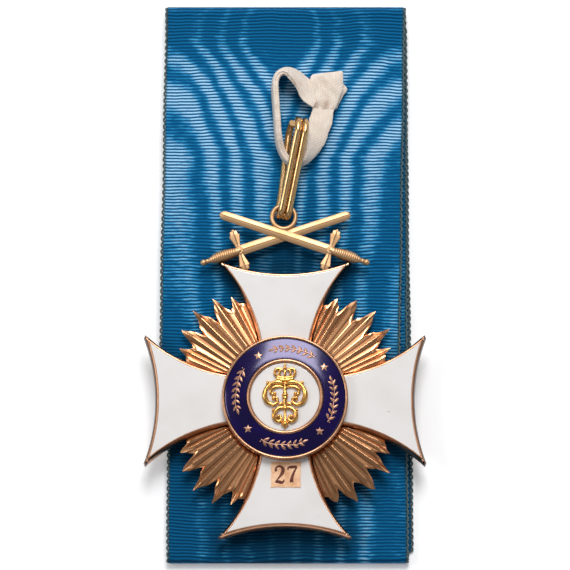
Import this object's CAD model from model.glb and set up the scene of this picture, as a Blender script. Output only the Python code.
import math

import bmesh
import bpy
import numpy as np
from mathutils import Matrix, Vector


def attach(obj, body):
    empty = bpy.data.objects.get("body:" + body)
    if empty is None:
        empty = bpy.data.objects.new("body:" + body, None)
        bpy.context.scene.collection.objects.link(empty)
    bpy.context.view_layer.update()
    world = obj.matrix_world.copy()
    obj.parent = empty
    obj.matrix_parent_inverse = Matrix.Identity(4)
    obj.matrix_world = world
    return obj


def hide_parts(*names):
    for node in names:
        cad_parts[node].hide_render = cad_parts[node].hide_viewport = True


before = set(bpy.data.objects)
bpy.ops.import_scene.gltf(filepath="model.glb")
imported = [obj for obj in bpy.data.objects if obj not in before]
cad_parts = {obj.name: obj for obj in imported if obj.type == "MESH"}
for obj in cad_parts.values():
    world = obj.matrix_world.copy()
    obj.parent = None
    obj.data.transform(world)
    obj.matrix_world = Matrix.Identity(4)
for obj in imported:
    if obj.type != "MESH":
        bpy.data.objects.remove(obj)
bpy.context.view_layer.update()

SCENE = bpy.context.scene

# Sizes in millimetres, as in the part: Z up out of the badge's face, Y towards its bail
MM = 0.001
CROSS = np.array([0.0, -23.3, 0.0])
# The arcs of an arm's outline, from the cross's middle: beside the arm, beyond its end and round its tips
SIDE = np.array([6.276, 33.949])
SIDE_R = 30.0
END_X = 58.9
END_R = 35.0
TIP_R = 28.7
BACK_Z = 3.34
WIDEST_Z = 4.49
STAR_Z = 4.53
TRAY_Z = 5.6
ENAMEL_Z = 6.44
RIM_Z = 6.49
MEDAL_R = 11.95
MEDAL_FLOOR_Z = 7.13
MEDAL_RIM_Z = 8.29
BAND_IN = 7.34
BAND_MID = 9.38
BAND_OUT = 11.41
BAND_LOW_Z = 8.17
BAND_HIGH_Z = 8.99
RING_TOP_Z = 9.19
SWORD_CROSSING = np.array([0.0, 8.55, 5.57])
RING_AT = np.array([-0.25, 12.16, 5.57])
LABEL_AT = np.array([0.15, -37.9])


# Camera: straight down the photograph's line of sight, 12 degrees off the vertical
def set_camera(width_mm=108.365, aim=(0.0, 0.17, 0.0), elevation=78, distance=3.0):
    """A long lens far away, so that its lines of sight are all but parallel."""
    lens = bpy.data.cameras.new("view")
    lens.sensor_width = 36
    lens.lens = 36 * distance / (width_mm * MM)
    lens.clip_end = 20
    eye = bpy.data.objects.new("view", lens)
    tilt = math.radians(elevation)
    eye.location = np.array(aim) * MM + distance * np.array([0, -math.cos(tilt), math.sin(tilt)])
    eye.rotation_euler = (math.radians(90) - tilt, 0, 0)
    SCENE.collection.objects.link(eye)
    SCENE.camera = eye


set_camera()


# Points and paths
def columns(*parts):
    """Numbers and arrays, spread to one shape, as the columns of an array of points."""
    return np.stack(np.broadcast_arrays(*parts), -1)


def circle(count):
    """Angles spaced evenly round a circle."""
    return np.linspace(0, 2 * np.pi, count, endpoint=False)


def polar(radius, angle, *height):
    """Points at a radius and an angle about the Z axis, and at a height where one is given."""
    return columns(radius * np.cos(angle), radius * np.sin(angle), *height)


def run_along(path):
    """The length of a path up to each of its points."""
    return np.concatenate([[0], np.cumsum(np.linalg.norm(np.diff(path, axis=0), axis=1))])


def smooth_line(points, count, closed=False):
    """Points spaced evenly along a curve through the given ones, its slope at each the chord of its
    neighbours. Columns after the third, such as a width, are carried along with the first three."""
    p = np.asarray(points, float)
    if closed:
        ext = np.vstack([p[-1], p, p[0], p[1]])
    else:
        ext = np.vstack([2 * p[0] - p[1], p, 2 * p[-1] - p[-2]])
    a, b, c, d = (ext[k : len(ext) - 3 + k, None, :] for k in range(4))
    t = np.linspace(0, 1, 32, endpoint=False)[None, :, None]
    fine = 0.5 * (2 * b + (c - a) * t + (2 * a - 5 * b + 4 * c - d) * t**2 + (3 * b - a - 3 * c + d) * t**3)
    fine = np.vstack([fine.reshape(-1, p.shape[1]), ext[-2]])
    run = run_along(fine[:, :3])
    at = np.linspace(0, run[-1], count, endpoint=not closed)
    return np.column_stack([np.interp(at, run, column) for column in fine.T])


def unit(v):
    """Vectors brought to length 1."""
    return v / np.maximum(np.linalg.norm(v, axis=-1, keepdims=True), 1e-12)


def side_and_up(path, up=(0, 0, 1), closed=False):
    """Unit vectors across a path, to the right of its travel, and square to both."""
    if closed:
        ahead = np.roll(path, -1, 0) - np.roll(path, 1, 0)
    else:
        ahead = np.gradient(path, axis=0)
    across = unit(np.cross(unit(ahead), np.broadcast_to(np.asarray(up, float), path.shape)))
    return across, unit(np.cross(across, ahead))


def smooth(low, high, x):
    """A smooth step from 0 at low to 1 at high: 3t^2 - 2t^3."""
    t = np.clip((x - low) / (high - low), 0, 1)
    return t * t * (3 - 2 * t)


def turn(points, degrees, about=(0, 0, 1)):
    """Points turned about an axis through the origin, by the right-hand rule."""
    axis = unit(np.asarray(about, float))
    a = math.radians(degrees)
    p = np.asarray(points, float)
    along = (p @ axis)[..., None] * axis
    return p * math.cos(a) + np.cross(axis, p) * math.sin(a) + along * (1 - math.cos(a))


# Shells: each is (points, faces), and several are put together into one piece
def lattice(rows, cols, wrap_rows=False, wrap_cols=False):
    """Four-sided faces of a grid of points, row after row; a wrapped side closes on itself."""
    i, j = np.meshgrid(np.arange(rows - (not wrap_rows)), np.arange(cols - (not wrap_cols)), indexing="ij")
    i2, j2 = (i + 1) % rows, (j + 1) % cols
    return columns(i * cols + j, i * cols + j2, i2 * cols + j2, i2 * cols + j).reshape(-1, 4).tolist()


def lofted(rings, closed=False, lid=None):
    """A shell through rings of equally many points, its two ends shut by flat lids unless it closes on
    itself. A lid is given as faces of the ring's own points, or is one face through them all."""
    rings = np.asarray(rings, float)
    k, n = rings.shape[:2]
    faces = lattice(k, n, closed, True)
    if not closed:
        lid = lid or [list(range(n))]
        faces += lid + [[(k - 1) * n + v for v in face] for face in lid]
    return rings.reshape(-1, 3), faces


def slab(top, floor_z):
    """A closed block under a grid of points: the grid, the same grid laid flat at the floor, and a wall."""
    rows, cols = top.shape[:2]
    index = np.arange(rows * cols).reshape(rows, cols)
    edge = np.concatenate([index[0], index[1:, -1], index[-1, -2::-1], index[-2:0:-1, 0]])
    points = top.reshape(-1, 3)
    low = columns(points[:, 0], points[:, 1], floor_z)
    first = rows * cols
    wall = columns(edge, first + edge, first + np.roll(edge, -1), np.roll(edge, -1)).tolist()
    face = lattice(rows, cols)
    under = [[first + v for v in quad[::-1]] for quad in face]
    return np.vstack([points, low]), face + wall + under


def turned(profile, count=160, closed=False):
    """A shell turned about the Z axis from a line of (radius, height)."""
    r, z = np.array(profile, float).T[..., None]
    return lofted(polar(np.maximum(r, 1e-3), circle(count), z), closed)


def swept(path, section, up=(0, 0, 1), closed=False):
    """A section carried along a path: its x goes to the right of the path, its y up from it. There may be
    one section to each of the path's points."""
    across, lift = side_and_up(path, up, closed)
    section = np.broadcast_to(section, (len(path),) + np.shape(section)[-2:])
    rings = path[:, None] + section[..., :1] * across[:, None] + section[..., 1:] * lift[:, None]
    return lofted(rings, closed)


def round_section(count, radii, flatten=1.0):
    """Circles of the given radii, one to a station, squashed upwards by flatten."""
    return np.asarray(radii, float)[..., None, None] * polar(1.0, circle(count)) * [1, flatten]


def tendril(knots, count, sides=14, flatten=0.8):
    """A bent wire through knots of x, y, z and radius. Its ends are rounded: radius times sqrt(1 - d^2),
    d running from 1 at the end to 0 at one radius from it."""
    line = smooth_line(knots, count)
    path, r = line[:, :3], line[:, 3]
    run = np.linspace(0, run_along(path)[-1], count)
    for from_end, size in ((run, r[0]), (run[-1] - run, r[-1])):
        d = np.clip(1 - from_end / size, 0, 1)
        r = r * np.sqrt(np.maximum(1 - d * d, 0.0025))
    return swept(path, round_section(sides, r, flatten))


def ball(centre, radius, flatten=1.0, sides=16):
    """A ball, squashed upwards by flatten."""
    a = np.linspace(-np.pi / 2, np.pi / 2, sides // 2 + 1)
    points, faces = turned(polar(radius, a) * [1, flatten], sides)
    return points + np.asarray(centre, float), faces


def together(*shells):
    """Several shells as one."""
    points, faces, first = [], [], 0
    for p, f in shells:
        points.append(p)
        faces += [[first + v for v in face] for face in f]
        first += len(p)
    return np.vstack(points), faces


def moved(shell, shift=(0, 0, 0), degrees=0, flip_x=False):
    """A shell mirrored in X if asked, turned about Z and shifted."""
    points = shell[0] * np.array([-1 if flip_x else 1, 1, 1])
    return turn(points, degrees) + np.asarray(shift, float), shell[1]


def piece(name, shell, finish, slot, node=None, crease=38, **notes):
    """Makes a named piece in metres, its faces outwards, its edges sharp past the crease angle. Notes are
    kept on its points for the finish to read: cloth is a vector, any other is one number."""
    points, faces = shell
    mesh = bpy.data.meshes.new(name)
    mesh.from_pydata((points * MM).tolist(), [], faces)
    for key, values in notes.items():
        kind, field = ("FLOAT_VECTOR", "vector") if key == "cloth" else ("FLOAT", "value")
        mesh.attributes.new(key, kind, "POINT").data.foreach_set(field, values.astype(np.float32).ravel())
    tidy = bmesh.new()
    tidy.from_mesh(mesh)
    bmesh.ops.recalc_face_normals(tidy, faces=tidy.faces)
    tidy.to_mesh(mesh)
    tidy.free()
    mesh.shade_smooth()
    mesh.set_sharp_from_angle(angle=math.radians(crease))
    mesh.materials.append(finish.material)
    thing = bpy.data.objects.new(name, mesh)
    SCENE.collection.objects.link(thing)
    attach(thing, "root")
    if node:
        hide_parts(node)
    return thing


# Finishes
def shade(red, green, blue):
    """A colour read off a screen, 0 to 255, as the linear one that a shader takes."""
    c = np.array([red, green, blue]) / 255
    return (*np.where(c <= 0.04045, c / 12.92, ((c + 0.055) / 1.055) ** 2.4).tolist(), 1.0)


class Value:
    """One number, vector or colour that varies over a surface, on which Python's own signs work."""

    def __init__(self, finish, socket):
        self.finish = finish
        self.socket = socket

    def maths(self, operation, *terms):
        """One operation of a maths node on its terms."""
        return self.finish.node("ShaderNodeMath", {"operation": operation}, terms)

    def __add__(self, other):
        return self.maths("ADD", self, other)

    def __sub__(self, other):
        return self.maths("SUBTRACT", self, other)

    def __rsub__(self, other):
        return self.maths("SUBTRACT", other, self)

    def __mul__(self, other):
        return self.maths("MULTIPLY", self, other)

    # A sum and a product are the same either way round
    __radd__, __rmul__ = __add__, __mul__

    def __abs__(self):
        return self.maths("ABSOLUTE", self)

    def wave(self):
        """0.5 + 0.5 sin of this number."""
        return self.maths("SINE", self) * 0.5 + 0.5

    def least(self, other):
        """The lesser of the two."""
        return self.maths("MINIMUM", self, other)

    def most(self, other):
        """The greater of the two."""
        return self.maths("MAXIMUM", self, other)

    def step(self, low, high):
        """A smooth step from 0 at low to 1 at high."""
        inputs = {"Value": self, "From Min": low, "From Max": high}
        return self.finish.node("ShaderNodeMapRange", {"interpolation_type": "SMOOTHSTEP"}, inputs)

    def part(self, axis):
        """One of a vector's three numbers."""
        return self.finish.node("ShaderNodeSeparateXYZ", {}, [self], axis)


class Finish:
    """A material, whose nodes are made by one method and whose maths is written with Value."""

    def __init__(self, name, **constants):
        self.material = bpy.data.materials.new(name)
        self.material.use_nodes = True
        self.tree = self.material.node_tree
        self.shader = self.tree.nodes["Principled BSDF"]
        for socket, value in constants.items():
            self.shader.inputs[socket.replace("_", " ")].default_value = value

    def node(self, kind, settings=None, inputs=(), output=0):
        """Makes a node of a kind, sets it up, fills or links its sockets, and returns one of its outputs."""
        made = self.tree.nodes.new(kind)
        for key, value in (settings or {}).items():
            setattr(made, key, value)
        pairs = inputs.items() if isinstance(inputs, dict) else enumerate(inputs)
        for where, value in pairs:
            if isinstance(value, Value):
                self.tree.links.new(value.socket, made.inputs[where])
            else:
                made.inputs[where].default_value = value
        return Value(self, made.outputs[output])

    def feed(self, **sockets):
        """Links what varies to the shader's sockets."""
        for socket, value in sockets.items():
            self.tree.links.new(value.socket, self.shader.inputs[socket.replace("_", " ")])

    def place(self):
        """The point on the piece, in metres in the shared frame."""
        return self.node("ShaderNodeTexCoord", {}, (), "Object")

    def note(self, name, output="Fac"):
        """A number or vector kept on the piece's points."""
        return self.node("ShaderNodeAttribute", {"attribute_name": name}, (), output)

    def point(self, x, y, z=0.0):
        """A vector of three numbers."""
        return self.node("ShaderNodeCombineXYZ", {}, [x, y, z])

    def noise(self, where, scale, detail=3.0, roughness=0.5):
        """Cloudy noise about 0.5, with scale cells to a unit of where."""
        inputs = {"Vector": where, "Scale": scale, "Detail": detail, "Roughness": roughness}
        return self.node("ShaderNodeTexNoise", {}, inputs)

    def mix(self, a, b, share):
        """Colour a where share is 0, colour b where it is 1."""
        return self.node("ShaderNodeMix", {"data_type": "RGBA"}, {0: share, 6: a, 7: b}, 2)

    def bump(self, height, depth):
        """A bump whose full height is depth, in metres."""
        return self.node("ShaderNodeBump", {}, {"Height": height, "Distance": depth, "Strength": 1.0})


def wall_tarnish(where):
    """Brown where the frame's walls drop below its rim, on the ends of the side arms and along the top arm:
    0.94 (1 - step(z)) max(step(|x| - dy^2 / 70), step(y))."""
    x, y, z = (where.part(axis) * 1000 for axis in range(3))
    drop = y - float(CROSS[1])
    end = (abs(x) - drop * drop * (1 / 70)).step(23.7, 24.1)
    return (1 - z.step(6.3, 6.485)) * end.most(y.step(-6.0, -1.0)) * 0.94


def metal(name, bright, deep, roughness, wear=0.35, scratch=0.000012, tarnish=None):
    """Gold of one alloy: patches of a deeper tone, a fine brushed grain, and rougher where it is handled. It
    turns brown by the share that tarnish, a function of the place, gives."""
    gold = Finish(name, Metallic=1.0)
    where = gold.place()
    patches = gold.noise(where, 260.0, 4.0, 0.6).step(0.4, 0.68)
    fine = gold.noise(where, 900.0, 3.0, 0.7)
    speck = gold.noise(where, 2600.0, 2.0, 0.5)
    colour = gold.mix(shade(*bright), shade(*deep), patches * wear + fine * 0.12)
    if tarnish:
        colour = gold.mix(colour, shade(58, 38, 28), tarnish(where))
    gold.feed(
        Base_Color=colour,
        Roughness=fine * 0.06 + patches * 0.05 + (roughness - 0.06),
        Normal=gold.bump(fine * 0.6 + speck * 0.4, scratch),
    )
    return gold


def ray_gold():
    """The rays' gold: bright on the ridges, browned in the grooves, by the height kept on the points."""
    gold = Finish("ray_gold", Metallic=1.0)
    where = gold.place()
    fine = gold.noise(where, 1100.0, 3.0, 0.7)
    patches = gold.noise(where, 240.0, 4.0, 0.6).step(0.42, 0.75)
    dull = (1 - gold.note("rise").step(0.0, 0.36)) * 0.8
    colour = gold.mix(shade(236, 174, 126), shade(212, 144, 94), patches * 0.35)
    gold.feed(
        Base_Color=gold.mix(colour, shade(118, 68, 36), dull),
        Roughness=fine * 0.06 + dull * 0.12 + 0.21,
        Normal=gold.bump(fine, 0.000006),
    )
    return gold


def white_enamel():
    """Fired white enamel: very slightly uneven in tone, glossy, with a few pin holes."""
    enamel = Finish("white_enamel", Roughness=0.14, Coat_Weight=0.15, Coat_Roughness=0.06)
    where = enamel.place()
    cloud = enamel.noise(where, 130.0, 3.0, 0.5).step(0.35, 0.75)
    pits = enamel.noise(where, 1500.0, 1.0, 0.4).step(0.78, 0.84)
    colour = enamel.mix(shade(238, 235, 233), shade(232, 227, 224), cloud)
    enamel.feed(
        Base_Color=enamel.mix(colour, shade(170, 150, 140), pits * 0.5),
        Normal=enamel.bump(enamel.noise(where, 90.0, 2.0), 0.00004),
    )
    return enamel


def violet_enamel():
    """Deep violet-blue enamel, clearer and bluer in its thin places."""
    tint = (0.76, 0.7, 1.0, 1.0)
    enamel = Finish("violet_enamel", Roughness=0.15, Specular_IOR_Level=0.75, Specular_Tint=tint)
    where = enamel.place()
    cloud = enamel.noise(where, 210.0, 3.0, 0.55).step(0.35, 0.75)
    enamel.feed(
        Base_Color=enamel.mix(shade(10, 0, 54), shade(18, 0, 74), cloud),
        Normal=enamel.bump(enamel.noise(where, 160.0, 2.0), 0.00003),
    )
    return enamel


def linen(name, stains=()):
    """Linen: a plain weave over the cloth's own across and along, in millimetres, with slubs, blots, and
    stains at given places, each with its size and its strength."""
    cloth = Finish(name, Roughness=0.88, Sheen_Weight=0.25, Sheen_Roughness=0.6, Specular_IOR_Level=0.25)
    note = cloth.note("cloth", "Vector")
    across, along = note.part(0), note.part(1)
    where = cloth.place()
    drift = cloth.noise(where, 700.0, 2.0) * 1.6
    warp = (across * 20.0 + drift).wave()
    weft = (along * 20.0 + drift).wave()
    check = ((across + along) * 10.0).wave()
    weave = (warp * check).most(weft * (1 - check))
    slub = cloth.noise(cloth.point(across * 2.2, along * 0.35), 1.0, 3.0, 0.6)
    blot = cloth.noise(where, 330.0, 3.0, 0.6).step(0.5, 0.75)
    colour = cloth.mix(shade(246, 232, 218), shade(212, 192, 174), (1 - weave) * 0.55)
    colour = cloth.mix(colour, shade(254, 247, 240), slub.step(0.45, 0.8) * 0.6)
    colour = cloth.mix(colour, shade(210, 180, 150), blot * 0.35)
    for spot, size, strength in stains:
        offset = cloth.node("ShaderNodeVectorMath", {"operation": "DISTANCE"}, [where, spot], 1)
        colour = cloth.mix(colour, shade(168, 124, 84), (1 - offset.step(0.0, size)) * strength)
    fuzz = cloth.noise(where, 3800.0, 2.0)
    cloth.feed(Base_Color=colour, Normal=cloth.bump(weave * 0.55 + slub * 0.3 + fuzz * 0.25, 0.00012))
    return cloth


def watered_silk():
    """The silk's ribs and their watering, worked out from its own across and along in millimetres. The
    watering is a set of contour lines of the distance from a slanting middle line, flattened towards the
    edges, plus a depth that grows down from an oval under the fold: so they run straight beside the oval,
    slant inwards under it and then run straight again. How pale they are follows the tone kept on the
    points, and the dye is deepest where the badge has covered it."""
    rib_gap, water_gap, oval_y = 0.624, 4.25, 78.8
    silk = Finish("watered_silk", Specular_IOR_Level=0.22, Specular_Tint=(0.2, 0.6, 1.0, 1.0))
    note = silk.note("cloth", "Vector")
    across, along = note.part(0), note.part(1)
    tone, kept = silk.note("tone"), silk.note("kept")
    sway = silk.noise(silk.point(across * 0.05, along * 0.035), 1.0, 2.0, 0.45) - 0.5
    swirl = silk.noise(silk.point(across * 0.15, along * 0.09, 3.0), 1.0, 3.0, 0.55) - 0.5
    dash = silk.noise(silk.point(across * 0.42, along * 1.6, 7.0), 1.0, 2.0, 0.6)
    fibre = silk.noise(silk.point(across * 9.0, along * 1.6, 9.0), 1.0, 2.0, 0.6)
    rib = (along * (2 * math.pi / rib_gap) + sway * 20.0 + swirl * 7.0).wave()
    middle = 0.8 - ((along - 52.0) * (1.7 / 23)).most(0.0).least(1.7)
    off = abs(across - middle)
    flat = (off - 13.5).most(0.0)
    lean = (across * 0.25).most(-1.0).least(1.0)
    below = (74.6 - along).most(0.0)
    depth = below.least(10.0) * 0.64 + (below - 10.0).most(0.0).least(12.0) * (lean * 0.1 + 0.42)
    depth = depth + (below - 25.0).most(0.0).least(60.0) * 0.05
    above = ((along - oval_y) * (1 / 3.5)).most(0.0).least(1.5)
    ring = (off - flat * flat * 0.055 + depth + above * above * 2.0).most(4.9)
    lines = (ring + sway * 1.8 + swirl * 2.4) * (2 * math.pi / water_gap)
    band = (lines - 2.5).wave()
    pale = (tone * 0.38 + band * (tone * 0.52 + 0.2) + dash * 0.8 - 0.58).step(0.0, 1.0)
    crest = (rib + dash * 0.25 - 0.12).step(0.16, 0.88)
    groove = silk.mix(shade(0, 50, 82), shade(0, 76, 124), tone)
    body = silk.mix(shade(6, 98, 148), shade(52, 154, 208), pale.step(0.0, 0.42))
    top = silk.mix(body, shade(170, 222, 255), (pale * (fibre * 0.36 + 0.8)).step(0.22, 1.05))
    colour = silk.mix(silk.mix(groove, top, crest), shade(0, 30, 50), kept)
    edge = abs(across).step(22.0, 22.6)
    silk.feed(
        Base_Color=silk.mix(colour, shade(30, 78, 94), edge * 0.8),
        Roughness=0.65 - pale * 0.2,
        Normal=silk.bump(rib * 0.85 + fibre * 0.15, 0.0001),
    )
    return silk


def picot_thread():
    """Twisted grey-green thread: a slanting wave round and along it."""
    thread = Finish("picot_thread", Roughness=0.85, Sheen_Weight=0.2)
    note = thread.note("cloth", "Vector")
    twist = (note.part(1) * 16.0 + note.part(0) * 6.0).wave()
    patch = thread.noise(thread.place(), 900.0, 3.0)
    colour = thread.mix(shade(46, 70, 76), shade(96, 124, 124), twist * 0.5 + patch * 0.3)
    thread.feed(Base_Color=colour, Normal=thread.bump(twist, 0.00006))
    return thread


def label_paper():
    """Foxed, fibrous paper."""
    paper = Finish("label_paper", Roughness=0.85, Specular_IOR_Level=0.25)
    where = paper.place()
    cloud = paper.noise(where, 420.0, 4.0, 0.65).step(0.36, 0.68)
    fibre = paper.noise(where, 3600.0, 3.0, 0.7)
    foxed = paper.noise(where, 900.0, 3.0, 0.6).step(0.58, 0.74)
    colour = paper.mix(shade(252, 206, 166), shade(222, 164, 120), cloud)
    colour = paper.mix(colour, shade(194, 130, 88), foxed * 0.7)
    colour = paper.mix(colour, shade(250, 226, 206), fibre.step(0.52, 0.7) * 0.4)
    paper.feed(Base_Color=colour, Normal=paper.bump(fibre, 0.00004))
    return paper


def label_ink():
    """Brown printer's ink, thin in places."""
    ink = Finish("label_ink", Roughness=0.7)
    thin = ink.noise(ink.place(), 1700.0, 3.0, 0.6).step(0.45, 0.75)
    ink.feed(Base_Color=ink.mix(shade(92, 36, 18), shade(132, 72, 46), thin))
    return ink


TAPE_LINEN = linen("tape_linen")
KNOT_STAINS = [((0.0056, 0.0343, 0.005), 0.0014, 0.7), ((0.0078, 0.0343, 0.005), 0.0013, 0.6)]
KNOT_LINEN = linen("knot_linen", KNOT_STAINS)
FRAME_GOLD = metal("frame_gold", (226, 170, 134), (152, 100, 68), 0.32, 0.4, tarnish=wall_tarnish)
MEDAL_GOLD = metal("medallion_gold", (206, 156, 122), (130, 88, 60), 0.34, 0.45)
TRIM_GOLD = metal("trim_gold", (218, 170, 142), (168, 120, 94), 0.45)
EMBLEM_GOLD = metal("emblem_gold", (246, 190, 106), (206, 136, 54), 0.26, 0.45)
SWORD_GOLD = metal("sword_gold", (226, 184, 140), (196, 146, 88), 0.5)
BAIL_GOLD = metal("bail_gold", (234, 192, 136), (190, 140, 84), 0.27, 0.25, scratch=0.0000003)
BACK_GOLD = metal("back_gold", (206, 154, 108), (140, 92, 56), 0.34, 0.5)
WHITE = white_enamel()


# The tape's route as in the part: x, y, z, width, tilt from flat, in millimetres and degrees
TAPE_ROUTE = [
    (7.4, 35.0, 4.5, 4.1, 0),
    (7.3, 33.8, 4.6, 4.2, 0),
    (7.1, 32.4, 4.7, 4.3, 0),
    (6.75, 30.8, 4.95, 4.4, 2),
    (6.35, 29.2, 5.2, 4.2, 8),
    (5.8, 27.2, 5.6, 4.0, 26),
    (5.1, 25.4, 5.9, 3.6, 44),
    (4.3, 23.9, 6.1, 2.7, 56),
    (3.3, 22.85, 6.24, 2.0, 68),
    (2.2, 22.45, 6.26, 1.9, 72),
    (1.1, 22.7, 6.26, 1.9, 74),
    (0.2, 23.4, 6.28, 2.0, 77),
    (-0.5, 24.6, 6.3, 2.3, 81),
    (-1.0, 26.1, 6.3, 3.8, 84),
    (-1.3, 27.8, 6.3, 4.8, 86),
    (-1.45, 29.8, 6.3, 5.2, 86),
    (-1.65, 32.8, 6.3, 5.2, 86),
    (-1.85, 35.6, 6.3, 5.2, 86),
    (-1.9, 37.9, 6.3, 5.2, 86),
    (-1.55, 39.3, 6.3, 5.2, 82),
    (-0.75, 40.15, 6.2, 5.2, 75),
    (0.25, 40.35, 6.1, 5.1, 67),
    (1.15, 40.05, 5.95, 4.9, 60),
    (2.1, 39.4, 5.7, 4.7, 54),
    (3.05, 38.5, 5.45, 4.6, 46),
    (3.95, 37.55, 5.2, 4.8, 36),
    (4.75, 36.6, 5.0, 5.0, 28),
    (5.5, 35.9, 4.85, 5.0, 24),
    (6.2, 35.5, 4.7, 4.6, 18),
]


def linen_tape():
    """A flat tape carried along its route, its section a rounded box, |cos a|^0.35 by |sin a|^0.6, turned by
    the tilt. Where it stands on edge it is folded in half, so it is twice as thick there and its upper
    edge is split by a groove."""
    line = smooth_line(TAPE_ROUTE, 190)
    path, width, tilt = line[:, :3], line[:, 3:4], line[:, 4:]
    length = run_along(path)[-1]
    run = np.linspace(0, length, len(path))[:, None]
    folded = smooth(28, 68, tilt)
    waver = (0.05 * np.sin(run * 1.9) + 0.03 * np.sin(run * 4.7 + 1)) * smooth(2.2, 4, width)
    a = circle(40)
    x, y = (np.sign(part) * np.abs(part) ** power for part, power in ((np.cos(a), 0.35), (np.sin(a), 0.6)))
    groove = np.exp(-((y / 0.22) ** 2)) * (np.abs(x) > 0.8) * np.sign(x)
    wide = (width / 2 - 0.04 + waver) * x - 0.30 * folded * groove
    thick = (0.29 + 0.33 * folded) * y + 0.10 * np.sin(run * 0.9) * x**2 * (1 - folded)
    c, s = np.cos(np.radians(tilt)), np.sin(np.radians(tilt))
    shell = swept(path, columns(c * wide - s * thick, s * wide + c * thick))
    cloth = columns(wide, run, thick)
    tape = piece("linen_tape_woven", shell, TAPE_LINEN, "linen", "linen_tape", 60, cloth=cloth)
    return tape, path, length


# The knot's two flat tails: outline, height of the underside, thickness, phase and share of the dents
KNOT_TAILS = [
    ([(5.0, 38.8), (5.6, 40.0), (8.6, 40.4), (10.5, 40.4), (10.8, 38.9), (11.85, 37.5), (11.1, 36.2),
      (10.2, 34.5), (9.4, 33.5), (5.7, 33.7), (5.0, 36.4)], 3.42, 0.75, 0.8, 0.4),
    ([(4.75, 39.0), (5.2, 40.05), (6.8, 40.35), (9.0, 40.6), (10.75, 40.78), (11.05, 40.2), (11.05, 38.2),
      (10.9, 36.9), (10.2, 35.0), (9.5, 33.4), (8.4, 33.15), (6.6, 33.3), (5.35, 33.6), (4.95, 35.2),
      (4.8, 37.0)], 4.22, 0.95, 2.3, 1.0),
]


def knot_tail(outline, base, high, phase, share):
    """One tail and its cloth: its outline drawn in towards its middle, its height falling off as
    (1 - t^6)^0.5 to the edge t = 1, with shallow dents, and pleats where the tape is drawn together."""
    line = smooth_line(outline, 120, closed=True)
    middle = line.mean(0)
    t = np.array([0.02, 0.2, 0.4, 0.58, 0.72, 0.83, 0.9, 0.95, 0.985, 1.0])[:, None]
    x, y = np.moveaxis(middle + t[..., None] * (line - middle), -1, 0)
    swell = np.sqrt(np.maximum(1 - t**6, 0.02))
    dents = 0.10 * np.sin(x * 1.3 + phase) * np.cos(y * 1.1 + phase) + 0.08 * np.sin((x + y) * 2.4 + phase)
    pleats = 0.16 * np.sin((x - 7.2) * 3.9 + 0.4) * smooth(36.2, 34.0, y)
    uneven = (dents + pleats) * (1 - t**8) * share
    top = columns(x, y, base + high * (0.55 + 0.45 * swell) + uneven)
    low = columns(x, y, base + 0.10 * (1 - t**4))
    rings = np.vstack([top, low[::-1]])
    x, y, z = np.moveaxis(rings, -1, 0)
    return lofted(rings), columns(x, y * 0.98 + 0.2 * x, z)


def tape_knot():
    """The two tails and the turn of tape round their root, an oval section with a few folds along it."""
    shells, cloths = zip(*(knot_tail(*row) for row in KNOT_TAILS))
    root = smooth_line([(5.9, 39.9, 4.5), (5.45, 38.6, 4.62), (5.35, 37.0, 4.66), (5.5, 35.4, 4.6),
                        (5.95, 33.9, 4.45)], 60)
    a = circle(28)
    run = np.linspace(0, 1, len(root))[:, None]
    r = 0.72 * np.sqrt(np.maximum(1 - (2 * run - 1) ** 10, 0.06)) * (1 + 0.06 * np.sin(5 * a + 7 * run))
    x, y = r * np.cos(a), 0.78 * r * np.sin(a)
    shell = together(*shells, swept(root, columns(x, y)))
    cloth = np.vstack([c.reshape(-1, 3) for c in (*cloths, columns(x * 1.3, root[:, 1:2], y))])
    return piece("tape_knot_tails", shell, KNOT_LINEN, "linen", "tape_knot", 60, cloth=cloth)


KNOT = tape_knot()
TAPE, TAPE_PATH, TAPE_LENGTH = linen_tape()


# The ribbon, folded twice: the front run, the back run on the table and the inner run between them. What
# lies more than LOWER_FROM along it is below the front run
RIBBON_HALF_W = 22.5
RIBBON_END_Y = 53.95
FRONT_END_Y = -28.3
INNER_END_Y = 49.95
UPPER_FOLD_R, LOWER_FOLD_R = 1.65, 1.075
SILK_T = 0.55
LOWER_FROM = 120


def ribbon_line(step):
    """The ribbon's middle line and which of its points are in the front run: three level runs joined by two
    half circles. Each run's middle moves sideways with its distance from the upper end, as in the part."""

    def level(start, end, z, shift, more):
        """A level run, its middle at shift + more * (distance from the upper end) / (whole length)."""
        y = np.linspace(start, end, max(2, int(abs(end - start) / step)), endpoint=False)
        return columns(shift + more * (RIBBON_END_Y - y) / (2 * RIBBON_END_Y), y, z)

    def fold(x, y, z, radius):
        """A half circle about (y, z) from its top, or from its bottom where the radius is negative."""
        a = np.linspace(0, np.pi, 14, endpoint=False)
        return columns(x, y + radius * np.sin(a), z + radius * np.cos(a))

    upper_y, lower_y = RIBBON_END_Y - UPPER_FOLD_R, LOWER_FOLD_R - RIBBON_END_Y
    front = level(FRONT_END_Y, upper_y, 2 * UPPER_FOLD_R - SILK_T / 2, 0.135, -1.8)
    back = level(upper_y, lower_y, SILK_T / 2, 0.135, 1.395)
    inner = level(lower_y, INNER_END_Y, 2 * LOWER_FOLD_R - SILK_T / 2, 0.405, 0.09)
    back[:, 0] += (inner[0, 0] - back[:, 0]) * smooth(-50.9, -52.6, back[:, 1])
    line = np.vstack([
        front,
        fold(front[-1, 0], upper_y, UPPER_FOLD_R, UPPER_FOLD_R - SILK_T / 2),
        back,
        fold(inner[0, 0], lower_y, LOWER_FOLD_R, SILK_T / 2 - LOWER_FOLD_R),
        inner,
    ])
    return line, np.arange(len(line)) < len(front)


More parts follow.
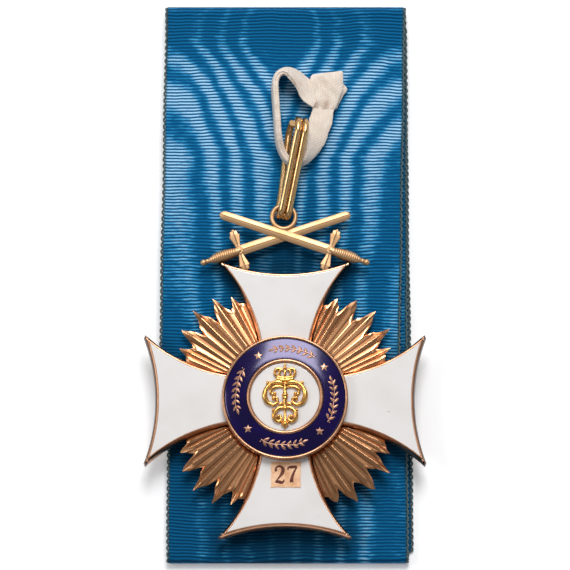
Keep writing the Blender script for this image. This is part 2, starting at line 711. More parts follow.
def silk_tone(u, run):
    """How pale the watering is, 0 to 1: most in the middle of the front run, less under its fold, and
    little on the runs below, whose right half is a little paler."""
    front = 0.26 + 0.74 * smooth(79, 66, run) * (0.3 + 0.7 * smooth(30, 62, run))
    below = 0.34 + 0.26 * smooth(-4, 20, u)
    return np.where(run < LOWER_FROM, front, below)


def silk_kept(x, y, run):
    """How deep the dye has stayed, 0 to 1: exp(-(gap / 2.6)^2) of the gap to the cross's outline, and a few
    soft ovals where the swords and the arms have lain over it."""
    edge = cross_outline(0.7)[::4] + CROSS[:2]
    gap = np.min(np.hypot(x[..., None] - edge[:, 0], y[..., None] - edge[:, 1]), -1)
    places = [0.5 * np.exp(-((gap / 2.6) ** 2))]
    ovals = [(0.76, 0, 3.0, 9.5, 4.4), (0.55, 0, -51.0, 12, 4.0), (0.45, -12.5, -37.5, 6.5, 6.5),
             (0.45, 12.5, -37.5, 6.5, 6.5)]
    for share, cx, cy, rx, ry in ovals:
        places.append(share * np.exp(-((((x - cx) / rx) ** 2 + ((y - cy) / ry) ** 2) ** 1.4)))
    below = (run > LOWER_FROM) * (0.22 - 0.12 * smooth(-2, 20, x))
    return np.clip(np.maximum.reduce(places) + below, 0, 0.86)


def silk_strip():
    """A flat section with rounded edges carried along the folded line. Away from the badge the front run
    lies in slow waves: 0.05 sin(0.21 y + 0.06 u) + 0.05 sin(0.11 y - 0.13 u + 1.4) - 0.08."""
    line, in_front = ribbon_line(0.5)
    run = run_along(line[:, 1:])[:, None]
    ahead = unit(np.gradient(line * [0, 1, 1], axis=0))
    up = columns(0.0, -ahead[:, 2], ahead[:, 1])
    half = np.linspace(-RIBBON_HALF_W + 0.08, RIBBON_HALF_W - 0.08, 40)
    u = np.concatenate([half, [RIBBON_HALF_W], half[::-1], [-RIBBON_HALF_W]])
    side = np.concatenate([np.ones(40), [0], -np.ones(40), [0]])
    points = line[:, None] + u[:, None] * [1.0, 0, 0] + (side * SILK_T / 2)[:, None] * up[:, None]
    y = line[:, 1:2]
    away = smooth(29, 35, np.abs(y - CROSS[1]))
    wave = 0.05 * np.sin(y * 0.21 + u * 0.06) + 0.05 * np.sin(y * 0.11 - u * 0.13 + 1.4) - 0.08
    points[..., 2] += np.where(in_front[:, None], wave * away, 0)
    points[..., 0] += 0.06 * np.sin(run * 0.23) * u / RIBBON_HALF_W
    tone, kept = silk_tone(u, run), silk_kept(points[..., 0], points[..., 1], run)
    return piece("neck_ribbon_silk", lofted(points), watered_silk(), "ribbon_silk", "neck_ribbon", 50,
                 cloth=columns(u, run, side), tone=tone, kept=kept)


def picot_edging():
    """A thread down each edge that stands out in a row of small loops, each a half sine, and the ribbon's
    length."""
    line, in_front = ribbon_line(0.16)
    run = run_along(line[:, 1:])
    line[:, 2] -= 0.06 * in_front
    sides, shells = 6, []
    for side in (-1, 1):
        loop = np.abs(np.sin(np.pi * run / 1.28 + side))
        out = RIBBON_HALF_W - 0.05 + 0.06 * np.sin(run * 0.23) + 0.33 * loop
        path = line + columns(side * out, 0, 0)
        shells.append(swept(path, round_section(sides, 0.17 + 0.06 * loop), (side, 0, 0)))
    cloth = np.tile(columns(np.arange(sides), run[:, None], 0), (2, 1, 1))
    edging = piece("picot_edging", together(*shells), picot_thread(), "ribbon_silk", crease=60, cloth=cloth)
    return edging, float(run[-1])


# The cross
def crossing(centre, radius, about_radius):
    """Where a circle meets one about the origin: the meeting point that lies clockwise of its centre."""
    d = math.hypot(*centre)
    along = (d * d + about_radius**2 - radius**2) / (2 * d)
    off = math.sqrt(max(about_radius**2 - along**2, 0))
    u = np.asarray(centre) / d
    return along * u + off * np.array([u[1], -u[0]])


def arc(centre, start, end, count):
    """Points along the short arc between two points about a centre."""
    (x0, y0), (x1, y1) = start - np.array(centre), end - np.array(centre)
    a = math.atan2(y0, x0)
    b = a + (math.atan2(y1, x1) - a + math.pi) % (2 * math.pi) - math.pi
    return centre + polar(math.hypot(x0, y0), np.linspace(a, b, count))


def arm_corners(grow):
    """An arm's two tip corners, and the middle of its end, with its walls moved out by grow."""
    tip_r, end_r = TIP_R + grow, END_R - grow
    x = (tip_r**2 + END_X**2 - end_r**2) / (2 * END_X)
    end_tip = np.array([x, math.sqrt(tip_r**2 - x * x)])
    return crossing(SIDE, SIDE_R - grow, tip_r), end_tip, np.array([END_X - end_r, 0.0])


# How many points half an arm has on its side, its tip and its end, with the corners in both neighbours
SIDE_N, TIP_N, END_N = 44, 6, 24


def cross_outline(grow):
    """The cross's closed outline about its own centre. An arm's side is an arc of radius 30 - grow about a
    point beside it, its end an arc of radius 35 - grow about a point beyond it, and its tips lie on a circle
    of radius 28.7 + grow. Neighbouring sides meet on the diagonal."""
    s, q = SIDE.sum(), (SIDE**2).sum() - (SIDE_R - grow) ** 2
    t = (s - math.sqrt(s * s - 2 * q)) / 2
    side_tip, end_tip, end = arm_corners(grow)
    half = np.vstack([
        arc(SIDE, (t, t), side_tip, SIDE_N)[:-1],
        arc((0, 0), side_tip, end_tip, TIP_N)[:-1],
        arc((END_X, 0), end_tip, end, END_N),
    ])
    arm = np.vstack([half * [1, -1], half[-2:0:-1]])
    return np.vstack([turn(columns(*arm.T, 0), 90 * k)[:, :2] for k in range(4)])


def cross_shell(profile):
    """A shell lofted through the outline at each (growth, height) of a profile. Its lids are strips across
    each half arm, from its tip back to its end's middle, a fan from there, and a square in the middle."""
    rings = [columns(*cross_outline(grow).T, z) for grow, z in profile]
    tip, end = SIDE_N + TIP_N // 2 - 2, SIDE_N + TIP_N + END_N - 3
    arm = 2 * end
    strips = end - tip - 1
    half = [[tip - k, tip + 1 + k, tip + 2 + k, tip - 1 - k] for k in range(strips)]
    half += [[end, v, v - 1] for v in range(tip - strips, 0, -1)]
    one = [[end, 0, arm]] + half + [[arm - v for v in face] for face in half]
    lid = [[arm * k for k in range(4)]]
    lid += [[(arm * k + v) % (4 * arm) for v in face] for k in range(4) for face in one]
    return lofted(rings, lid=lid)


def cross_frame():
    """The frame: its flat rim with rounded lips, its walls sloping out to the widest line, and the drum
    that the medallion stands on."""
    walls = cross_shell([(-0.02, 5.7), (0.0, 6.38), (0.012, 6.45), (0.05, RIM_Z), (0.16, RIM_Z), (0.24, 6.46),
                         (0.33, 6.38), (0.42, 6.24), (0.5, 6.04), (0.57, 5.76), (0.63, 5.4), (0.67, 5.0),
                         (0.70, 4.65), (0.69, STAR_Z)])
    drum = turned([(0, 5.14), (11.6, 5.14), (11.6, RIM_Z), (0, RIM_Z)])
    piece("frame_of_cross", moved(together(walls, drum), CROSS), FRAME_GOLD, "badge_gold", "cross_frame")


def back_plate():
    """The plain back: the outline again, drawn in to a rounded lower edge, with a shallow dished middle."""
    plate = cross_shell([(0.68, WIDEST_Z), (0.7, 4.44), (0.66, 4.2), (0.5, 3.75), (0.36, 3.45), (0.26, 3.35),
                         (0.1, BACK_Z)])
    disc = turned([(0, WIDEST_Z), (12.3, WIDEST_Z), (12.3, 3.42), (12.2, BACK_Z), (10.4, BACK_Z), (10.2, 3.4),
                   (9.4, 3.6), (0, 3.72)])
    piece("back_of_cross", moved(together(plate, disc), CROSS), BACK_GOLD, "badge_gold", "back_plate")


def arm_enamel(node, degrees):
    """One arm's enamel, on a grid stretched between its four edges (a Coons patch): the medallion's circle,
    the two hollow sides and the end with its blunt tips. Its face is a little crowned, and turns down just
    beside the rim: height = face + 0.04 (1 - exp(-(d/2.2)^2)) - 0.02 exp(-d/0.08), d being the distance
    to the nearest edge."""
    grow, root_r = -0.03, 11.66
    side_tip, end_tip, end = arm_corners(grow)
    root = crossing(SIDE, SIDE_R - grow, root_r)
    upper_end = np.vstack([arc((END_X, 0), end, end_tip, 26)[:-1], arc((0, 0), end_tip, side_tip, 7)])
    outer = np.vstack([upper_end[:0:-1] * [1, -1], upper_end])
    s = (run_along(outer) / run_along(outer)[-1])[:, None]
    inner = polar(root_r, math.atan2(root[1], root[0]) * (2 * s[:, 0] - 1))
    right = arc(SIDE, root, side_tip, 64)
    left = right * [1, -1]
    t = np.linspace(0, 1, 64)[:, None, None]
    ruled = (1 - t) * inner + t * outer + (1 - s) * left[:, None] + s * right[:, None]
    corners = (1 - t) * ((1 - s) * inner[0] + s * inner[-1]) + t * ((1 - s) * outer[0] + s * outer[-1])
    x, y = np.moveaxis(ruled - corners, -1, 0)
    near = np.maximum(np.minimum.reduce([
        np.hypot(x - SIDE[0], np.abs(y) - SIDE[1]) - (SIDE_R - grow),
        np.hypot(x - END_X, y) - (END_R - grow),
        TIP_R + grow - np.hypot(x, y),
    ]), 0)
    z = ENAMEL_Z + 0.04 * (1 - np.exp(-((near / 2.2) ** 2))) - 0.02 * np.exp(-near / 0.08)
    shell = slab(columns(x, y, z), TRAY_Z + 0.04)
    piece("white_" + node, moved(shell, CROSS, degrees), WHITE, "white_enamel", node)


# The rays: angle from the fan's middle, reach of the edge, half-width of the ridge in degrees, bluntness
HALF_FAN = [
    (0, 24.4, 2.6, 9), (2.6, 22.1, 0, 12), (5.2, 20.1, 2.5, 20), (7.6, 21.8, 0, 12), (10, 24.05, 2.35, 9),
    (12.3, 21.8, 0, 12), (14.6, 19.9, 2.0, 20), (16.3, 20.9, 0, 12), (18, 22.3, 1.8, 9), (19.8, 21.2, 0, 12),
    (21.3, 20.5, 1.5, 20),
]
RAY_ROOT_R = 11.75


def ray_fan(phase):
    """One fan of rays, and how high each point rises. Ridges and grooves follow each other at the table's
    angles, with flat facets between. A ridge stands above its grooves by half its half-width, which grows
    with the radius and shrinks again to the edge, so its facets keep one slope:
    0.5 h min(r, b (reach - r) + 1.5), h being the table's half-width. Its crest is rounded over the last
    tenth: min(h, 0.28 h + 0.65 of the crest's own). The fan falls outwards from 0.95 to 0.33 mm, and each
    ridge has a rounded inner end."""
    fan = np.array([(-a, *rest) for a, *rest in HALF_FAN[:0:-1]] + HALF_FAN, float)
    facets = len(fan) - 1
    where = np.append(np.add.outer(np.arange(facets), [0, 0.1, 0.37, 0.63, 0.9]).ravel(), facets)
    angle, reach, half, blunt = (np.interp(where, np.arange(facets + 1), column) for column in fan.T)
    crest = np.append(np.repeat(np.maximum(half[:-1:5], half[5::5]), 5), half[-1])
    half = np.minimum(half, 0.28 * half + 0.72 * 0.9 * crest)
    reach = reach * (1 + 0.012 * np.sin(angle * 1.7 + phase))
    # A last strip on each side follows the arm's wall
    angle, half, blunt = (np.pad(column, 1, constant_values=end) for column, end in
                          ((angle, 0), (half, 0.3), (blunt, 12)))
    reach = np.concatenate([[reach[0] - 0.3], reach, [reach[-1] - 0.3]])
    out = np.concatenate([[0.0, 0.012, 0.03, 0.055, 0.09], np.linspace(0.14, 1, 26)])[:, None]
    radius = RAY_ROOT_R + out * (reach - RAY_ROOT_R)
    # The angle from the fan's middle to the arm's wall at each radius
    d, wall_r = np.hypot(*SIDE), SIDE_R - 0.78
    turn_in = np.arccos((radius**2 + d * d - wall_r**2) / (2 * radius * d))
    to_wall = 45 - np.degrees(math.atan2(SIDE[1], SIDE[0]) - turn_in)
    angle = np.clip(angle, 0.25 - to_wall, to_wall - 0.25)
    angle[:, 0] = -to_wall[:, 0]
    angle[:, -1] = to_wall[:, -1]
    nose = 0.12 + 0.88 * np.sqrt(np.maximum(1 - (1 - np.clip((radius - RAY_ROOT_R) / 0.62, 0, 1)) ** 2, 0))
    ridge = 0.5 * np.radians(half) * np.minimum(radius, blunt * (reach - radius) + 1.5)
    height = (0.95 - 0.62 * out) * (0.45 + 0.55 * nose) + ridge * nose
    top = polar(radius, np.radians(45 + angle), STAR_Z + height)
    rise = half / 2.6 * nose
    return slab(top, STAR_Z + 0.02), np.concatenate([rise.ravel(), np.full(rise.size, 0.3)])


def gold_rays():
    """The four fans, each a little unlike the others."""
    fans, rises = zip(*(ray_fan(k * 1.3) for k in range(4)))
    shell = together(*(moved(fan, CROSS, 90 * k) for k, fan in enumerate(fans)))
    piece("gold_rays", shell, ray_gold(), "ray_gold", "ray_star", 17, rise=np.concatenate(rises))


# The medallion
def band_height(radius):
    """The blue band's face: from its inner edge down to its outer one, as 8.99 - 0.82 t^1.4."""
    t = np.clip((np.asarray(radius, float) - BAND_IN) / (BAND_OUT - BAND_IN), 0, 1)
    return BAND_HIGH_Z - (BAND_HIGH_Z - BAND_LOW_Z) * t**1.4


def medallion():
    """Four turned pieces: the floor with its wall and rounded rim, the domed band, the ring inside it, and
    the white centre, crowned by 0.03 (1 - (r / 6.4)^2)."""
    rim = [(0, 6.53), (11.8, 6.53), (11.9, 6.6), (MEDAL_R, 6.75), (MEDAL_R, 8.1), (11.92, 8.2), (11.84, 8.27),
           (11.72, MEDAL_RIM_Z), (11.58, 8.27), (11.49, 8.22), (11.45, 8.12), (11.45, MEDAL_FLOOR_Z),
           (0, MEDAL_FLOOR_Z)]
    r = np.linspace(BAND_IN + 0.05, BAND_OUT - 0.05, 22)
    band = [(BAND_IN, 7.17), (BAND_IN, BAND_HIGH_Z - 0.06), *zip(r, band_height(r)),
            (BAND_OUT, BAND_LOW_Z - 0.05), (BAND_OUT, 7.17)]
    ring = [(6.6, 7.2), (6.6, 8.86), (6.63, 9.0), (6.72, 9.1), (6.84, 9.17), (6.96, RING_TOP_Z), (7.1, 9.17),
            (7.22, 9.1), (7.29, 8.98), (7.3, 8.85), (7.3, 7.2)]
    r = np.linspace(6.3, 0, 12)
    centre = [(0, 7.18), (6.56, 7.18), (6.56, 8.66), (6.5, 8.70), (6.4, 8.72),
              *zip(r, 8.725 + 0.03 * (1 - (r / 6.4) ** 2))]
    for name, profile, count, closed, finish, slot, node in [
        ("medallion_rim", rim, 220, False, MEDAL_GOLD, "medallion_gold", "medallion_mount"),
        ("violet_band", band, 220, True, violet_enamel(), "blue_enamel", "blue_band"),
        ("ring_inside_band", ring, 200, True, MEDAL_GOLD, "medallion_gold", "inner_ring"),
        ("white_centre", centre, 160, False, WHITE, "white_enamel", "centre_enamel"),
    ]:
        piece(name, moved(turned(profile, count, closed), CROSS), finish, slot, node)


def on_band(shell, degrees, lean=0.0):
    """Lays a flat shell on the band's middle, its X pointing outwards, and bends it round the band and down
    its slope."""
    p = turn(shell[0], lean)
    r = BAND_MID + p[:, 0]
    points = polar(r, np.radians(degrees) + p[:, 1] / BAND_MID, band_height(r) + p[:, 2])
    return points + CROSS, shell[1]


def star():
    """A five-pointed star whose face rises to its middle, its creases running to the points."""
    r = np.tile([0.87, 0.4], 5)
    levels = [(1, -0.04), (1, 0.07), (0.93, 0.1), (0.02, 0.2)]
    return lofted([polar(size * r, circle(10), z) for size, z in levels])


# A leaf's section, in shares of its half-width and its height
LEAF_SECTION = [(1, 0.0), (0.6, 0.55), (0.12, 0.62), (0, 1.0), (-0.12, 0.62), (-0.6, 0.55), (-1, 0.0),
                (0, -0.5)]


def leaf(length, half=0.22):
    """A laurel leaf along X: half-width half * sin(pi t^0.8)^0.8 + 0.015, with a raised midrib."""
    t = np.linspace(0.02, 0.99, 11)[:, None]
    w = half * np.sin(np.pi * t**0.8) ** 0.8 + 0.015
    x, y = np.array(LEAF_SECTION).T
    return lofted(columns(t * length, w * x, 0.03 + 0.13 * w / half * y))


def sprig(middle):
    """A laurel sprig along the band: a stem, leaves in pairs along it, a leaf at its end and berries."""
    half, pairs, knots = 27.0, 7, 50
    r = BAND_MID + 0.12 * np.sin(np.linspace(0, 3 * np.pi, knots))
    stem = polar(r, np.radians(np.linspace(middle - half, middle + half - 2, knots)), band_height(r) + 0.05)
    shells = [swept(stem + CROSS, round_section(8, np.linspace(0.11, 0.06, knots), 0.8))]
    for k in range(pairs):
        at = middle - half + 3 + k * (2 * half - 7) / (pairs - 0.4)
        shells += [on_band(leaf(1.28 - 0.03 * k), at, lean) for lean in (48, 132)]
        shells.append(on_band(ball((0.42 * (-1) ** k, -0.42, 0.07), 0.14), at))
    shells.append(on_band(leaf(1.2), middle + half - 4.5, 90))
    return together(*shells)


def band_trim():
    """The stars between the sprigs, each with a point up, and the sprigs in the four quarters."""
    for k, degrees in enumerate((122.6, 37.5, -45.4, -138.5), 1):
        shell = on_band(star(), degrees, 90 - degrees)
        piece("gold_star_%d" % k, shell, TRIM_GOLD, "trim_gold", "star_%d" % k, 20)
    for k, degrees in enumerate((80, -4, -92, 172), 1):
        piece("gold_sprig_%d" % k, sprig(degrees), TRIM_GOLD, "trim_gold", "sprig_%d" % k, 50)


# The centre's emblem, from the medallion's middle. Wires: height, points along, then knots of x, y, radius
SIDE_WIRES = [
    (9.12, 90, [(0.2, 2.35, 0.34), (1.3, 2.75, 0.46), (2.65, 2.45, 0.34), (3.6, 1.4, 0.4), (3.85, 0.1, 0.5),
                (3.3, -1.15, 0.44), (2.25, -1.6, 0.36), (1.5, -1.15, 0.3), (1.5, -0.4, 0.28),
                (2.05, -0.2, 0.3)]),
    (9.06, 60, [(0.25, 1.7, 0.2), (1.0, 1.95, 0.26), (1.95, 1.8, 0.34), (2.65, 1.25, 0.32),
                (2.6, 0.55, 0.26), (2.0, 0.5, 0.24)]),
    (9.12, 90, [(0.1, -2.1, 0.26), (0.95, -2.2, 0.36), (1.75, -2.75, 0.42), (2.1, -3.65, 0.44),
                (1.8, -4.5, 0.38), (1.15, -4.85, 0.32), (0.72, -4.4, 0.28), (0.85, -3.85, 0.24),
                (1.25, -3.75, 0.26)]),
    (9.08, 30, [(1.15, -1.75, 0.3), (0.75, -1.35, 0.26), (0.35, -1.5, 0.2)]),
    (9.1, 24, [(2.75, 2.4, 0.3), (3.25, 2.7, 0.22)]),
    (9.12, 50, [(1.55, 3.8, 0.24), (1.95, 4.5, 0.27), (1.7, 5.2, 0.26), (1.05, 5.35, 0.22),
                (0.35, 5.05, 0.2)]),
    (9.2, 40, [(0.8, 3.75, 0.2), (1.1, 4.5, 0.24), (0.85, 5.05, 0.22), (0.3, 5.15, 0.18)]),
]
MIDDLE_WIRES = [
    (9.1, 50, [(-1.75, 3.45, 0.32), (-0.9, 3.25, 0.34), (0.0, 3.18, 0.34), (0.9, 3.25, 0.34),
               (1.75, 3.45, 0.32)]),
    (9.16, 50, [(-1.6, 3.85, 0.22), (-0.8, 3.66, 0.22), (0, 3.6, 0.22), (0.8, 3.66, 0.22),
                (1.6, 3.85, 0.22)]),
    ([9.15, 9.25, 9.15], 30, [(0, 3.7, 0.24), (0, 4.5, 0.28), (0, 5.2, 0.22)]),
    (9.14, 16, [(0, 5.75, 0.13), (0, 6.4, 0.15)]),
    (9.14, 16, [(-0.28, 6.12, 0.12), (0.28, 6.12, 0.12)]),
]
# Its beads: x, y, z, radius
SIDE_BEADS = [(2.1, -0.35, 9.15, 0.46), (1.95, 0.55, 9.1, 0.36), (3.25, 2.65, 9.12, 0.34),
              (1.22, -3.85, 9.12, 0.36), (2.25, -2.6, 9.12, 0.27), (1.0, 3.52, 9.42, 0.17)]
MIDDLE_BEADS = [(0, 5.5, 9.14, 0.36), (0, 3.45, 9.42, 0.2)]


def relief(wires, beads):
    """Bent wires and beads as one shell about the medallion's middle."""
    shells = []
    for lift, count, knots in wires:
        x, y, r = np.array(knots).T
        shells.append(tendril(columns(x, y, lift, r), count))
    return together(*shells, *(ball((x, y, z), r) for x, y, z, r in beads))


def baluster():
    """The stem between the scrolls. Its radius is 0.34 + 0.1 cos(1.35 v + 0.5) + 0.015 v and a few beads,
    each high * exp(-((v - at) / wide)^2), v running down it."""
    v = np.linspace(2.9, -6.3, 130)
    r = 0.34 + 0.1 * np.cos(v * 1.35 + 0.5) + 0.015 * v
    beads = [(0.3, 0.22, 0.3), (-0.35, 0.12, 0.16), (-2.3, 0.3, 0.3), (-5.35, 0.46, 0.42), (1.5, 0.06, 0.2)]
    for at, high, wide in beads:
        r = r + high * np.exp(-(((v - at) / wide) ** 2))
    r = r * np.sqrt(np.clip(1 - (np.abs(v + 1.7) / 4.6) ** 12, 0.01, 1))
    return swept(columns(0, v, 9.14), round_section(20, r, 0.85))


def centre_emblem():
    """Scrolls whose wires swell and thin along their length, a baluster between them, and a small crown, all
    the same on the left and on the right."""
    right = relief(SIDE_WIRES, SIDE_BEADS)
    shell = together(right, moved(right, flip_x=True), baluster(), relief(MIDDLE_WIRES, MIDDLE_BEADS))
    piece("crown_and_scrolls", moved(shell, CROSS), EMBLEM_GOLD, "emblem_gold", "centre_emblem", 60)


# The label's figures, from its middle: knots of x, y and the pen's half-width
FIGURES = [
    [(-1.95, 0.72, 0.26), (-1.8, 1.3, 0.169), (-1.3, 1.62, 0.195), (-0.75, 1.45, 0.26), (-0.5, 0.9, 0.338),
     (-0.72, 0.2, 0.312), (-1.3, -0.6, 0.169), (-1.98, -1.45, 0.13)],
    [(-2.0, -1.46, 0.156), (-1.4, -1.38, 0.312), (-0.8, -1.52, 0.286), (-0.42, -1.3, 0.169),
     (-0.34, -0.95, 0.091)],
    [(-1.85, 0.8, 0.286), (-1.75, 0.68, 0.286)],
    [(0.42, 0.85, 0.104), (0.5, 1.35, 0.182), (1.2, 1.45, 0.286), (1.95, 1.5, 0.26), (2.12, 1.5, 0.156)],
    [(2.1, 1.45, 0.13), (1.7, 0.75, 0.182), (1.3, -0.2, 0.247), (1.12, -0.95, 0.325), (1.08, -1.5, 0.364)],
]


def label_height(x, y):
    """The paper's face above the enamel: a slow wave, its two lower corners a little lifted."""
    u, v = (x - LABEL_AT[0]) / 2.85, (y - LABEL_AT[1]) / 2.45
    right = 0.10 * smooth(0.6, 1.1, u) * smooth(0.4, 1.1, -v)
    lift = right + 0.07 * smooth(0.6, 1.1, -u) * smooth(0.3, 1.0, -v)
    return 6.57 + 0.02 * np.sin(2.1 * u + 0.6) * np.cos(1.7 * v) + lift


def pen_stroke(knots):
    """A thin flat stroke on the paper, whose width changes along its line."""
    x, y, width = np.array(knots).T
    line = smooth_line(columns(x + LABEL_AT[0], y + LABEL_AT[1], 0, width), 40)
    path = columns(line[:, 0], line[:, 1], label_height(line[:, 0], line[:, 1]) + 0.002)
    flat = np.array([(1, 0), (0.9, 1), (-0.9, 1), (-1, 0), (-0.9, -1), (0.9, -1)])
    return swept(path, columns(line[:, 3:] * flat[:, 0], 0.006 * flat[:, 1]))


def paper_label():
    """A square of thin paper with slightly worn edges, and its two printed figures."""
    u, v = np.meshgrid(np.linspace(-1, 1, 44), np.linspace(-1, 1, 40))
    x = LABEL_AT[0] + 2.82 * u + 0.04 * np.sin(v * 7.0 + 0.4) * np.abs(u) ** 6 + 0.03 * v
    y = LABEL_AT[1] + 2.45 * v + 0.035 * np.sin(u * 9.0) * np.abs(v) ** 6 - 0.03 * u
    top = columns(x, y, label_height(x, y))
    piece("old_paper_label", slab(top, 6.452), label_paper(), "label_paper", "paper_label")
    piece("label_figures", together(*map(pen_stroke, FIGURES)), label_ink(), "label_paper", crease=30)


# The swords, drawn along X from the pommel's ball: lengths, lean in degrees, and the grip's radius along it
SWORD_L, HILT_L, HALF_RUN, LEAN = 29.4, 7.2, 16.3, 18.6
GRIP = [(0.9, 0.42), (1.3, 0.55), (2.4, 0.97), (3.4, 1.13), (4.3, 1.13), (5.4, 1.0), (6.3, 0.84), (6.9, 0.8),
        (HILT_L, 0.8)]
# Half of the blade's section, and the guard arm's section, each in shares of half-width and half-thickness
BLADE_HALF = [(-1, 0.1), (-0.93, 0.34), (-0.56, 0.74), (-0.1, 0.84), (0, 1.0), (0.1, 0.84), (0.56, 0.74),
              (0.93, 0.34), (1, 0.1), (0.93, -0.5), (0.56, -0.9), (0, -1), (-0.56, -0.9), (-0.93, -0.5)]
GUARD_SECTION = [(-1, -0.85), (-1, 0.5), (-0.86, 0.72), (-0.16, 0.86), (0, 1.05), (0.16, 0.86), (0.86, 0.72),
                 (1, 0.5), (1, -0.85), (0.8, -1), (-0.8, -1)]
# Stations along a guard arm: y, half-width, half-thickness
GUARD_STATIONS = [(0.2, 0.5, 0.5), (0.7, 0.44, 0.46), (1.3, 0.56, 0.48), (2.3, 0.84, 0.53), (3.0, 1.05, 0.57),
                  (3.12, 1.05, 0.57), (3.16, 1.0, 0.52), (3.18, 0.78, 0.48), (3.78, 0.74, 0.46),
                  (3.92, 0.66, 0.4), (3.95, 0.3, 0.3)]


def blade():
    """A straight blade whose section has two bevels and a low ridge; its end is a half ellipse in plan."""
    point_from = 27.9
    round_end = point_from + (SWORD_L - point_from) * np.sin(np.linspace(0.12, 1, 10) * np.pi / 2)
    x = np.concatenate([np.linspace(HILT_L, point_from, 24), round_end])[:, None]
    taper = 1 - 0.14 * (x - HILT_L) / 22
    end = np.sqrt(np.clip(1 - np.clip((x - 28.2) / 1.21, 0, 1) ** 2, 0.004, 1))
    wide, thick = np.array(BLADE_HALF).T
    return lofted(columns(x, 1.05 * taper * end * wide, 0.5 * taper * end**0.6 * thick))


def grip():
    """A spindle wound with wire: radius R(x) (1 - 0.09 (1 - |sin(pi (x / 0.43 + angle / turn))|)^1.3)."""
    x = np.linspace(0.75, HILT_L, 190)[:, None]
    a = circle(40)
    outline = smooth_line(GRIP, 80)
    bound = smooth(1.2, 1.6, x) * smooth(6.9, 6.6, x)
    wound = np.abs(np.sin(np.pi * (x / 0.43 + a / (2 * np.pi))))
    r = np.interp(x, outline[:, 0], outline[:, 1]) * (1 - 0.09 * bound * (1 - wound) ** 1.3)
    return lofted(columns(x, r * np.cos(a), r * np.sin(a)))


def guard_arm():
    """One arm of the guard along Y: a flared bar with a raised middle, a stepped cap and a ball."""
    wide, thick = np.array(GUARD_SECTION).T
    y, half, high = np.array(GUARD_STATIONS).T[..., None]
    return together(lofted(columns(half * wide, y, high * thick)), ball((0, 3.98, 0), 0.38))


def sword():
    """Blade, grip, the two arms of the guard about a flat boss with a turned button, and the pommel."""
    points, faces = guard_arm()
    boss = ball((0, 0, 0.05), 0.86, 0.72, 24)
    button = turned([(0, 0.2), (0.74, 0.25), (0.74, 0.5), (0.6, 0.62), (0.46, 0.62), (0.38, 0.58),
                     (0.3, 0.72), (0.16, 0.8), (0, 0.82)], 36)
    guard = together((points, faces), (points * [1, -1, 1], faces), boss, button)
    pommel = [ball((0, 0, 0), 0.62, 1, 20), ball((0.78, 0, 0), 0.5, 1, 18)]
    return together(blade(), grip(), moved(guard, (HILT_L, 0, 0)), *pommel)


def crossed_swords():
    """Two swords crossed about the crossing, the one whose hilt is at the right lying on top, and the ring
    that is soldered on them with a fillet at its foot."""
    shell = sword()
    for name, lift, flip in (("sword_hilt_left", -0.15, False), ("sword_hilt_right", 0.15, True)):
        leaning = moved(moved(shell, (-HALF_RUN, 0, lift)), degrees=LEAN)
        laid = moved(leaning, SWORD_CROSSING, flip_x=flip)
        piece(name, laid, SWORD_GOLD, "sword_gold", "crossed_swords", 24)
    path = RING_AT + polar(2.24, circle(120), 0)
    ring = swept(path, round_section(24, np.full(len(path), 0.43)), closed=True)
    fillet = tendril([(*RING_AT + [-0.9, -2.35, -0.05], 0.34), (*RING_AT + [0, -2.52, -0.1], 0.42),
                      (*RING_AT + [0.9, -2.35, -0.05], 0.34)], 24)
    piece("soldered_ring", together(ring, fillet), SWORD_GOLD, "sword_gold", "crossed_swords", 60)


# The bail, drawn along X: the radii of its two bends, how far apart they are and how much it narrows
FOOT_R, FAR_R, BAIL_RUN = 1.35, 2.5, 15.0
WEDGE = math.asin((FAR_R - FOOT_R) / BAIL_RUN)


def bail_wire(y, open_bend=False):
    """One wire in the plane y: a bend at its foot, a wider one at its far end, and the two straight runs that
    touch both. An open bend is cut across: its lower part, pushed aside, ends 64 degrees up the bend, and
    its upper part stops a little above it."""

    def far_bend(start, end, count, x=BAIL_RUN):
        """Points of the wide bend between two angles, about (x, 0)."""
        return [x, 0] + polar(FAR_R, np.linspace(start, end, count))

    low, high = -math.pi / 2 - WEDGE, math.pi / 2 + WEDGE
    foot = polar(FOOT_R, np.linspace(low + 2 * math.pi, high, 26))
    if open_bend:
        before, after = far_bend(1.12 - math.pi / 2, low, 18, 14.6), far_bend(high, 0.3, 20)
    else:
        before, after = far_bend(0, low, 18), far_bend(high, 0, 18)[:-1]
    t = np.linspace(0, 1, 40)[1:-1, None]
    lower, upper = (a + t * (b - a) for a, b in ((before[-1], foot[0]), (foot[-1], after[0])))
    x, z = np.vstack([before, lower, foot, upper, after]).T
    aside = open_bend * 0.45 * smooth(2, 15, x) * (np.arange(len(x)) < len(before) + len(t))
    path = columns(x, y + aside, z)
    wire = 0.65 * (1 + 0.012 * np.sin(x * 1.1 + y) + 0.008 * np.sin(x * 2.7 + z))
    return swept(path, round_section(26, wire), (0, 1, 0), closed=not open_bend)


def ribbon_bail():
    """The two wires and the drops of solder between them, turned from X into the bail's lie in the ring."""
    solder = [ball((-1.35, 0, 0), 0.5), ball((17.5, 0, 0), 0.5), ball((-1.05, 0, 0.95), 0.3)]
    points, faces = together(bail_wire(-0.72), bail_wire(0.72, True), *solder)
    points = turn(turn(turn(points, -math.degrees(WEDGE), (0, 1, 0)), 15, (1, 0, 0)), 90 - 9.3)
    points = points + RING_AT * [0, 1, 1] + [-0.22, 1.35, 0]
    piece("wire_bail", (points, faces), BAIL_GOLD, "bail_gold", "ribbon_bail", 60)


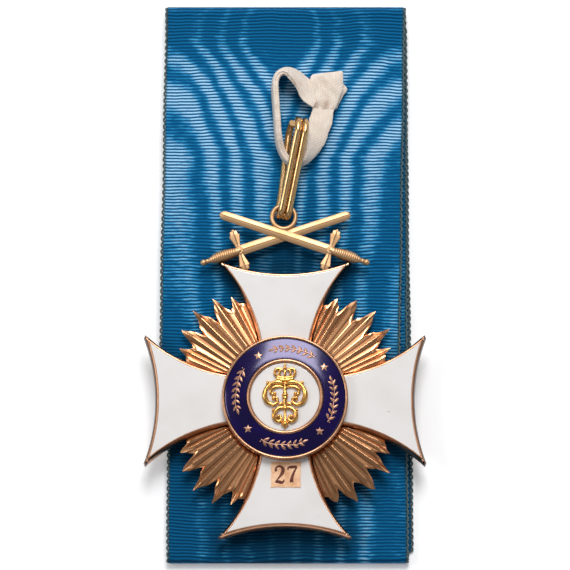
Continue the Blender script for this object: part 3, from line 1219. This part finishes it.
cross_frame()
back_plate()
for arm, degrees in (("enamel_right", 0), ("enamel_top", 90), ("enamel_left", 180), ("enamel_bottom", 270)):
    arm_enamel(arm, degrees)
gold_rays()
medallion()
band_trim()
SILK = silk_strip()
EDGING, RIBBON_LENGTH = picot_edging()
centre_emblem()
paper_label()
crossed_swords()
ribbon_bail()


# The table and the light, in metres
def pale_table(half=1.5, below=-0.00005):
    """A white table that glows a little, so that it comes out as pale as the photo's ground."""
    mesh = bpy.data.meshes.new("pale_table")
    corners = [(-half, -half, below), (half, -half, below), (half, half, below), (-half, half, below)]
    mesh.from_pydata(corners, [], [(0, 1, 2, 3)])
    paint = Finish("table_paint", Roughness=0.9, Specular_IOR_Level=0.1, Emission_Strength=0.2)
    tone = paint.noise(paint.place(), 3.0, 2.0)
    white = paint.mix(shade(252, 252, 252), shade(248, 248, 249), tone)
    paint.feed(Base_Color=white, Emission_Color=white)
    mesh.materials.append(paint.material)
    table = bpy.data.objects.new("pale_table", mesh)
    SCENE.collection.objects.link(table)


def soft_box(name, place, width, height, watts):
    """A rectangular lamp at a place, facing the origin."""
    lamp = bpy.data.lights.new(name, "AREA")
    lamp.shape = "RECTANGLE"
    lamp.size, lamp.size_y = width, height
    lamp.energy = watts
    box = bpy.data.objects.new(name, lamp)
    box.location = place
    box.rotation_euler = Vector(place).to_track_quat("Z", "Y").to_euler()
    SCENE.collection.objects.link(box)


def light_the_scene():
    """A dim room, a large lamp beyond the badge and four weaker ones round it."""
    world = bpy.data.worlds.new("room")
    world.use_nodes = True
    room = world.node_tree.nodes["Background"]
    room.inputs["Color"].default_value = (0.95, 0.97, 1.0, 1.0)
    room.inputs["Strength"].default_value = 0.17
    SCENE.world = world
    soft_box("key", (0.05, 0.55, 0.81), 0.42, 0.5, 6.95)
    soft_box("sky", (0.0, 0.85, 0.5), 0.98, 0.5, 1.9)
    soft_box("left_side", (-0.73, 0.09, 0.68), 0.3, 0.42, 2.0)
    soft_box("right_below", (0.66, -0.25, 0.7), 0.4, 0.4, 0.3)
    soft_box("front", (0.0, -0.75, 0.66), 0.5, 0.25, 0.5)


pale_table()
light_the_scene()
SCENE.view_settings.view_transform = "Standard"
